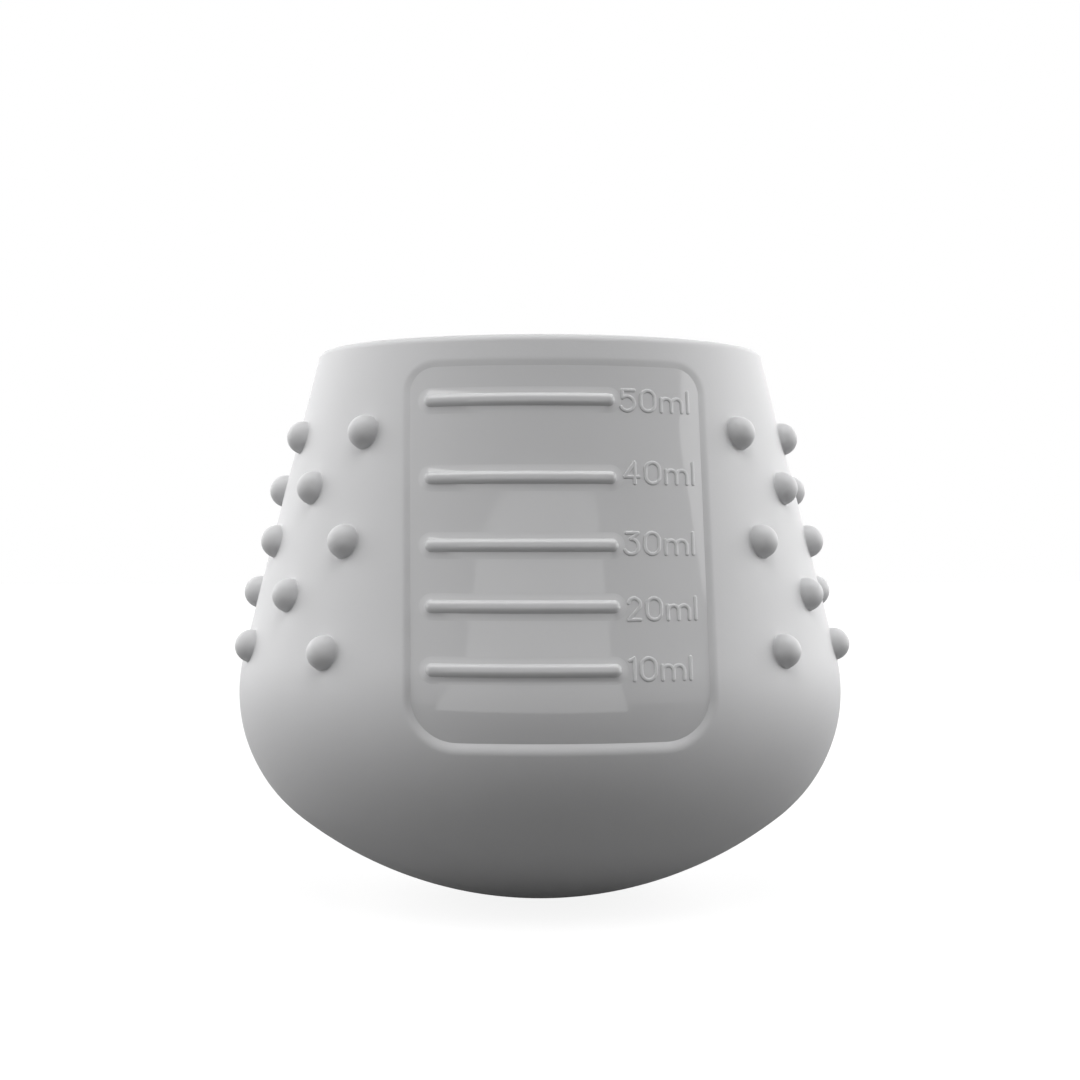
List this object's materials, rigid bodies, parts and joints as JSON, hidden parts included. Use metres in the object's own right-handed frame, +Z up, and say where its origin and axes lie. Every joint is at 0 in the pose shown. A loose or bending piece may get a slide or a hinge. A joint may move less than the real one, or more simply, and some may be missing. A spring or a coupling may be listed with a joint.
{
  "type": "training cup",
  "caption": "Small round-bottomed training cup: soft grey sleeve with grip bumps over a weighted inner cup, with a glossy measuring window marked in millilitres.",
  "frame": {"origin": "centre of the flat foot under the cup", "axes": "+Z up along the cup's axis, -Y out of the measuring window"},
  "size_m": [0.062, 0.0617, 0.0558],
  "materials": {
    "silicone": "matte moulded silicone",
    "window": "smooth and glossy",
    "cup": "smooth, satin to glossy",
    "steel": "turned steel"
  },
  "bodies": {
    "root": {"outer_sleeve": "silicone", "grip_bumps": "silicone", "measuring_window": "window", "scale_bars": "window", "scale_figures": "window", "inner_cup": "cup", "base_weight": "steel"}
  },
  "joints": []
}
